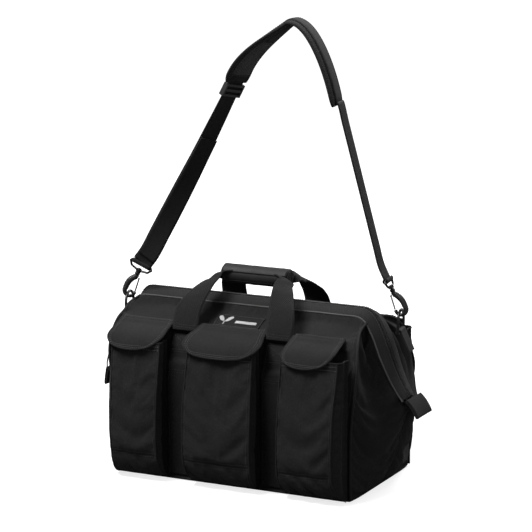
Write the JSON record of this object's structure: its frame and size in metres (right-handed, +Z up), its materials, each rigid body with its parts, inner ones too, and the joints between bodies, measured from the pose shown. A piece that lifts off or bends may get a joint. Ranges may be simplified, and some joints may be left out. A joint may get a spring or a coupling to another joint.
{
  "type": "garden tool bag",
  "caption": "Wide-mouth fabric tool bag with a zipped hinged-frame mouth, flapped outer pockets, padded carry handles and a clip-on padded shoulder strap.",
  "frame": {"origin": "middle of the base, on the floor", "axes": "+X along the bag to its right end seen from the front, front faces -Y, +Z up"},
  "size_m": [0.6246, 0.354, 0.8104],
  "materials": {
    "pack_cloth": "matte woven nylon",
    "twill_webbing": "matte twill webbing",
    "binding_tape": "ribbed edge binding",
    "pad_cloth": "matte padded cloth",
    "hook_loop": "napped hook and loop",
    "label_cloth": "smooth woven label",
    "zipper_teeth": "moulded nylon coil",
    "stiffener": "pressed board",
    "frame_steel": "zinc-plated wire",
    "black_metal": "black plated",
    "gate_steel": "bright wire",
    "hook_plastic": "moulded black",
    "cord": "braided cord"
  },
  "bodies": {
    "bag": {"base_panel": "pack_cloth", "base_board": "stiffener", "front_panel": "pack_cloth", "rear_panel": "pack_cloth", "left_gusset": "pack_cloth", "right_gusset": "pack_cloth", "corner_piping": "binding_tape", "front_left_pocket": "pack_cloth", "front_middle_pocket": "pack_cloth", "front_right_pocket": "pack_cloth", "rear_left_pocket": "pack_cloth", "rear_middle_pocket": "pack_cloth", "rear_right_pocket": "pack_cloth", "pocket_strips": "twill_webbing", "pocket_loop_patches": "hook_loop", "dring_chapes": "twill_webbing", "end_tabs": "twill_webbing", "hinge_pins": "frame_steel", "front_upper_panel": "pack_cloth", "rear_upper_panel": "pack_cloth", "gusset_folds": "pack_cloth", "label_patch": "label_cloth"},
    "front_rim": {"front_rim_tape": "binding_tape", "front_frame_wire": "frame_steel", "front_zipper_half": "zipper_teeth"},
    "rear_rim": {"rear_rim_tape": "binding_tape", "rear_frame_wire": "frame_steel", "rear_zipper_half": "zipper_teeth"},
    "front_handle": {"front_handle_webbing": "twill_webbing", "front_grip_pad": "pad_cloth"},
    "rear_handle": {"rear_handle_webbing": "twill_webbing", "rear_grip_pad": "pad_cloth"},
    "front_left_flap": {"front_left_flap": "pack_cloth", "front_left_hook_patch": "hook_loop"},
    "front_middle_flap": {"front_middle_flap": "pack_cloth", "front_middle_hook_patch": "hook_loop"},
    "front_right_flap": {"front_right_flap": "pack_cloth", "front_right_hook_patch": "hook_loop"},
    "rear_left_flap": {"rear_left_flap": "pack_cloth", "rear_left_hook_patch": "hook_loop"},
    "rear_middle_flap": {"rear_middle_flap": "pack_cloth", "rear_middle_hook_patch": "hook_loop"},
    "rear_right_flap": {"rear_right_flap": "pack_cloth", "rear_right_hook_patch": "hook_loop"},
    "slider": {"zipper_slider": "black_metal"},
    "zip_pull": {"pull_tab": "black_metal", "pull_cord": "cord"},
    "left_ring": {"left_dring": "black_metal"},
    "right_ring": {"right_dring": "black_metal"},
    "strap": {"strap_webbing": "twill_webbing", "shoulder_pad": "pad_cloth", "strap_rings": "black_metal"},
    "adjuster": {"strap_adjuster": "black_metal"},
    "left_hook": {"left_hook": "hook_plastic"},
    "right_hook": {"right_hook": "hook_plastic"},
    "left_gate": {"left_hook_gate": "gate_steel"},
    "right_gate": {"right_hook_gate": "gate_steel"}
  },
  "joints": [
    {"name": "front_rim_hinge", "type": "hinge", "parent": "bag", "child": "front_rim", "pos_m": [0, 0, 0.152], "axis": [1, 0, 0], "range_deg": [0, 25], "deforming": ["front_upper_panel", "gusset_folds", "label_patch"]},
    {"name": "rear_rim_hinge", "type": "hinge", "parent": "bag", "child": "rear_rim", "pos_m": [0, 0, 0.152], "axis": [1, 0, 0], "range_deg": [-25, 0], "deforming": ["rear_upper_panel"]},
    {"name": "front_handle_hinge", "type": "hinge", "parent": "bag", "child": "front_handle", "pos_m": [0, -0.113, 0.27], "axis": [1, 0, 0], "range_deg": [0, 60]},
    {"name": "rear_handle_hinge", "type": "hinge", "parent": "bag", "child": "rear_handle", "pos_m": [0, 0.113, 0.27], "axis": [1, 0, 0], "range_deg": [-60, 0]},
    {"name": "front_left_flap_hinge", "type": "hinge", "parent": "bag", "child": "front_left_flap", "pos_m": [0, -0.1, 0.281], "axis": [1, 0, 0], "range_deg": [-110, 0]},
    {"name": "front_middle_flap_hinge", "type": "hinge", "parent": "bag", "child": "front_middle_flap", "pos_m": [0, -0.1, 0.281], "axis": [1, 0, 0], "range_deg": [-70, 0]},
    {"name": "front_right_flap_hinge", "type": "hinge", "parent": "bag", "child": "front_right_flap", "pos_m": [0, -0.1, 0.281], "axis": [1, 0, 0], "range_deg": [-110, 0]},
    {"name": "rear_left_flap_hinge", "type": "hinge", "parent": "bag", "child": "rear_left_flap", "pos_m": [0, 0.1, 0.281], "axis": [1, 0, 0], "range_deg": [0, 110]},
    {"name": "rear_middle_flap_hinge", "type": "hinge", "parent": "bag", "child": "rear_middle_flap", "pos_m": [0, 0.1, 0.281], "axis": [1, 0, 0], "range_deg": [0, 70]},
    {"name": "rear_right_flap_hinge", "type": "hinge", "parent": "bag", "child": "rear_right_flap", "pos_m": [0, 0.1, 0.281], "axis": [1, 0, 0], "range_deg": [0, 110]},
    {"name": "slider_slide", "type": "slide", "parent": "bag", "child": "slider", "axis": [0.6184, 0, 0.7859], "range_m": [0, 0.012]},
    {"name": "pull_hinge", "type": "hinge", "parent": "slider", "child": "zip_pull", "pos_m": [-0.2911, 0, 0.21725], "axis": [0, 1, 0], "range_deg": [0, 120]},
    {"name": "left_ring_hinge", "type": "hinge", "parent": "bag", "child": "left_ring", "pos_m": [-0.25004, -0.03514, 0.271], "axis": [-0.1392, 0.9903, 0], "range_deg": [-3, 3]},
    {"name": "right_ring_hinge", "type": "hinge", "parent": "bag", "child": "right_ring", "pos_m": [0.25004, 0.03514, 0.271], "axis": [-0.1392, 0.9903, 0], "range_deg": [-3, 3]},
    {"name": "strap_swing", "type": "hinge", "parent": "bag", "child": "strap", "pos_m": [0, 0, 0.29], "axis": [0.9903, 0.1392, 0], "range_deg": [-60, 60]},
    {"name": "adjuster_slide", "type": "slide", "parent": "strap", "child": "adjuster", "axis": [0.4494, 0.0632, 0.8911], "range_m": [-0.025, 0]},
    {"name": "left_hook_swivel", "type": "hinge", "parent": "strap", "child": "left_hook", "pos_m": [-0.25004, -0.03514, 0.309], "axis": [0.4185, 0.0588, 0.9063], "range_deg": [-30, 30]},
    {"name": "right_hook_swivel", "type": "hinge", "parent": "strap", "child": "right_hook", "pos_m": [0.25004, 0.03514, 0.309], "axis": [-0.4185, -0.0588, 0.9063], "range_deg": [-30, 30]},
    {"name": "left_gate_hinge", "type": "hinge", "parent": "left_hook", "child": "left_gate", "pos_m": [-0.2318, -0.03258, 0.33241], "axis": [-0.1392, 0.9903, 0], "range_deg": [0, 14]},
    {"name": "right_gate_hinge", "type": "hinge", "parent": "right_hook", "child": "right_gate", "pos_m": [0.2318, 0.03258, 0.33241], "axis": [-0.1392, 0.9903, 0], "range_deg": [-14, 0]}
  ]
}
